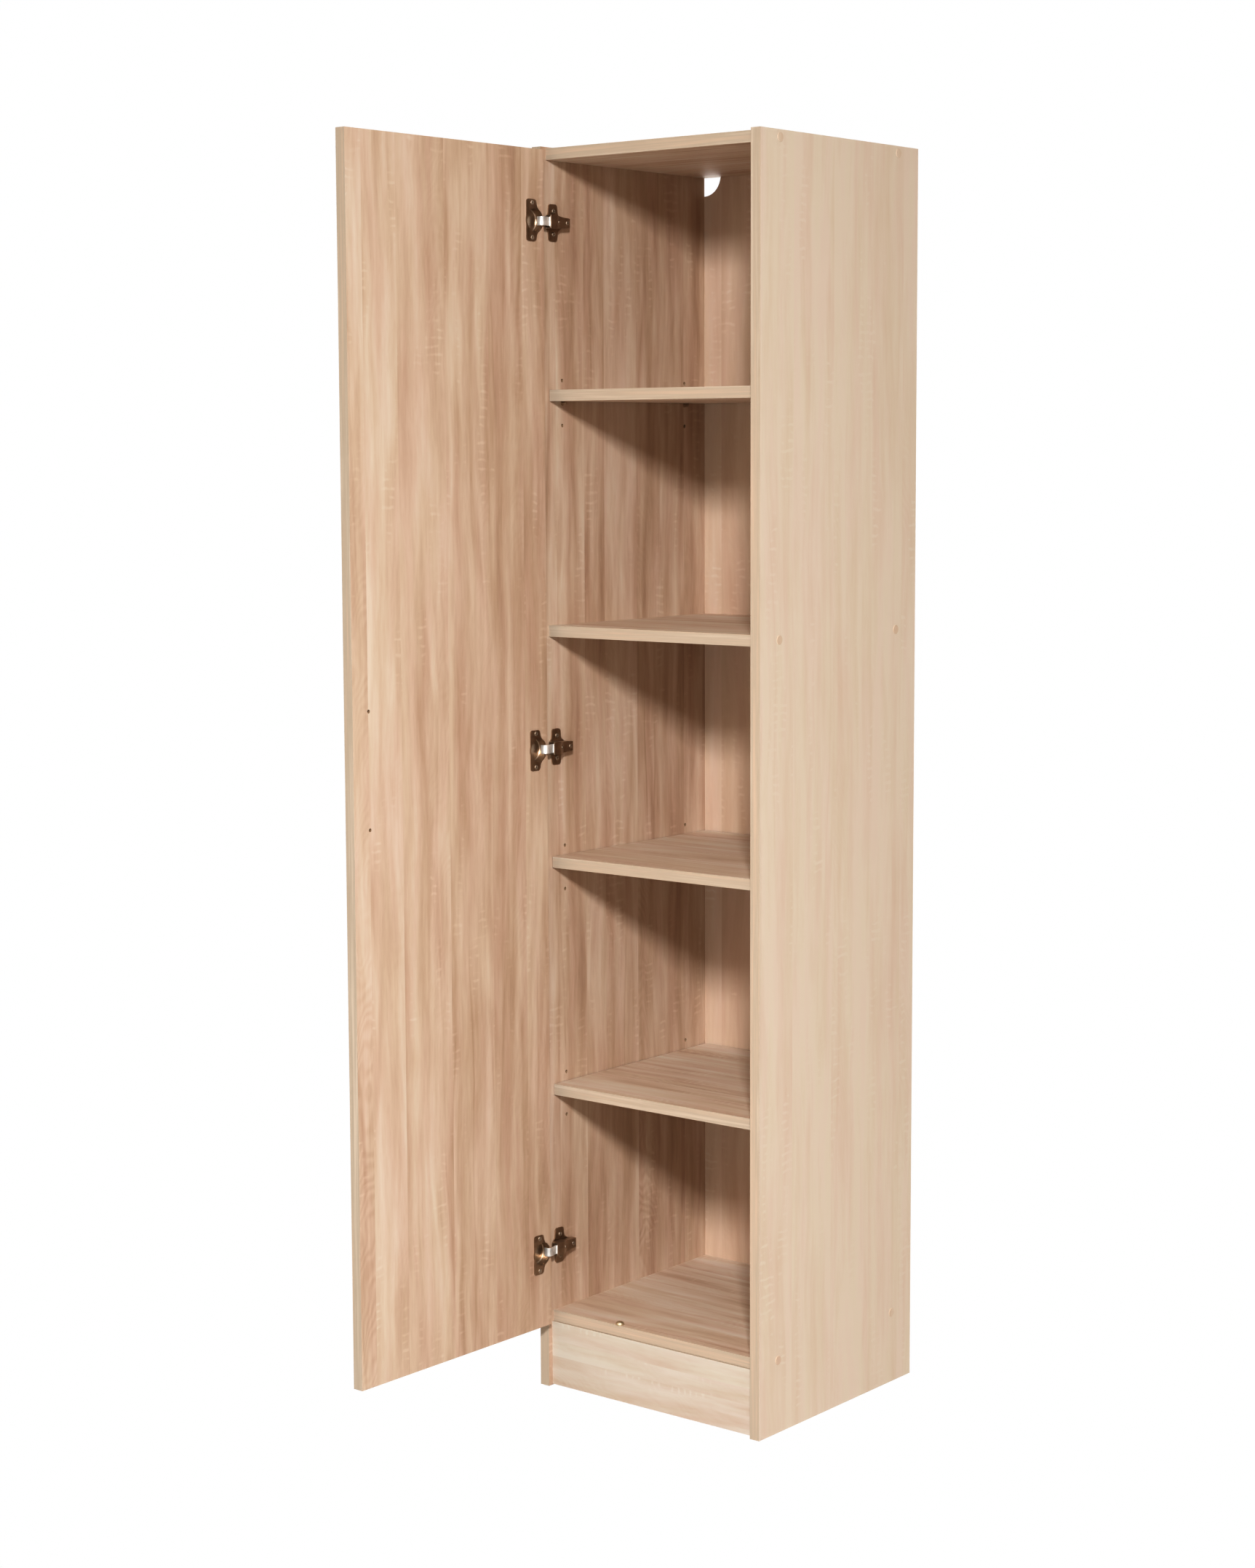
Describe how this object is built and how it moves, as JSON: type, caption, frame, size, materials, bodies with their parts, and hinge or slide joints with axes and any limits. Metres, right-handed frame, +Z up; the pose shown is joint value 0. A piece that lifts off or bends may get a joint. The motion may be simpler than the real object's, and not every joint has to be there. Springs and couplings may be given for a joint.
{
  "type": "pantry cabinet",
  "caption": "Tall narrow oak-finish pantry cabinet with fixed and adjustable shelves, kickboard, notched back panel and one full-height door on concealed hinges, shown open.",
  "frame": {"origin": "on the floor, at the centre of the footprint covered by the carcass and the open door", "axes": "+Z up; +X to the right seen from the front, away from the hinged side; +Y from the front to the back panel. The door opens towards -Y."},
  "size_m": [0.4012, 0.7822, 1.8],
  "materials": {
    "board_vertical": "melamine foil with a printed oak grain running upwards, matt",
    "board_horizontal": "melamine foil with a printed oak grain running across the width, matt",
    "back_board": "thin hardboard with a printed oak face, matt",
    "hinge_nickel": "bright nickel-plated steel pressings",
    "link_nickel": "bright nickel-plated curved strap",
    "pin_nickel": "satin nickel-plated steel pin",
    "zinc_steel": "zinc-plated steel screw",
    "cap_foil": "thin self-adhesive cover cap with a printed oak face"
  },
  "bodies": {
    "carcass": {"left_side": "board_vertical", "right_side": "board_vertical", "top_panel": "board_horizontal", "base_panel": "board_horizontal", "fixed_shelf": "board_horizontal", "shelf_lower": "board_horizontal", "shelf_middle": "board_horizontal", "shelf_upper": "board_horizontal", "kickboard": "board_horizontal", "back_panel": "back_board", "kick_screw": "zinc_steel", "pin_lower_left_front": "pin_nickel", "pin_lower_left_back": "pin_nickel", "pin_lower_right_front": "pin_nickel", "pin_lower_right_back": "pin_nickel", "pin_middle_left_front": "pin_nickel", "pin_middle_left_back": "pin_nickel", "pin_middle_right_front": "pin_nickel", "pin_middle_right_back": "pin_nickel", "pin_upper_left_front": "pin_nickel", "pin_upper_left_back": "pin_nickel", "pin_upper_right_front": "pin_nickel", "pin_upper_right_back": "pin_nickel", "screw_base_left_front": "zinc_steel", "cap_base_left_front": "cap_foil", "screw_base_left_back": "zinc_steel", "cap_base_left_back": "cap_foil", "screw_base_right_front": "zinc_steel", "cap_base_right_front": "cap_foil", "screw_base_right_back": "zinc_steel", "cap_base_right_back": "cap_foil", "screw_fixed_left_front": "zinc_steel", "cap_fixed_left_front": "cap_foil", "screw_fixed_left_back": "zinc_steel", "cap_fixed_left_back": "cap_foil", "screw_fixed_right_front": "zinc_steel", "cap_fixed_right_front": "cap_foil", "screw_fixed_right_back": "zinc_steel", "cap_fixed_right_back": "cap_foil", "screw_top_left_front": "zinc_steel", "cap_top_left_front": "cap_foil", "screw_top_left_back": "zinc_steel", "cap_top_left_back": "cap_foil", "screw_top_right_front": "zinc_steel", "cap_top_right_front": "cap_foil", "screw_top_right_back": "zinc_steel", "cap_top_right_back": "cap_foil", "hinge_bottom_plate": "hinge_nickel", "hinge_bottom_arm": "hinge_nickel", "hinge_middle_plate": "hinge_nickel", "hinge_middle_arm": "hinge_nickel", "hinge_top_plate": "hinge_nickel", "hinge_top_arm": "hinge_nickel"},
    "door": {"hinge_bottom_cup": "hinge_nickel", "hinge_middle_cup": "hinge_nickel", "hinge_top_cup": "hinge_nickel", "door": "board_vertical"},
    "hinge_links": {"hinge_bottom_link": "link_nickel", "hinge_middle_link": "link_nickel", "hinge_top_link": "link_nickel"}
  },
  "joints": [
    {"name": "door_hinge", "type": "hinge", "parent": "carcass", "child": "door", "pos_m": [-0.186, -0.01, 0.948], "axis": [0, 0, -1], "range_deg": [-91, 16]},
    {"name": "link_hinge", "type": "hinge", "parent": "carcass", "child": "hinge_links", "pos_m": [-0.169, 0.0106, 0.948], "axis": [0, 0, -1], "range_deg": [-9, 47]}
  ],
  "couplings": [
    {"joint": "link_hinge", "follows": "door_hinge", "ratio": -0.5}
  ]
}
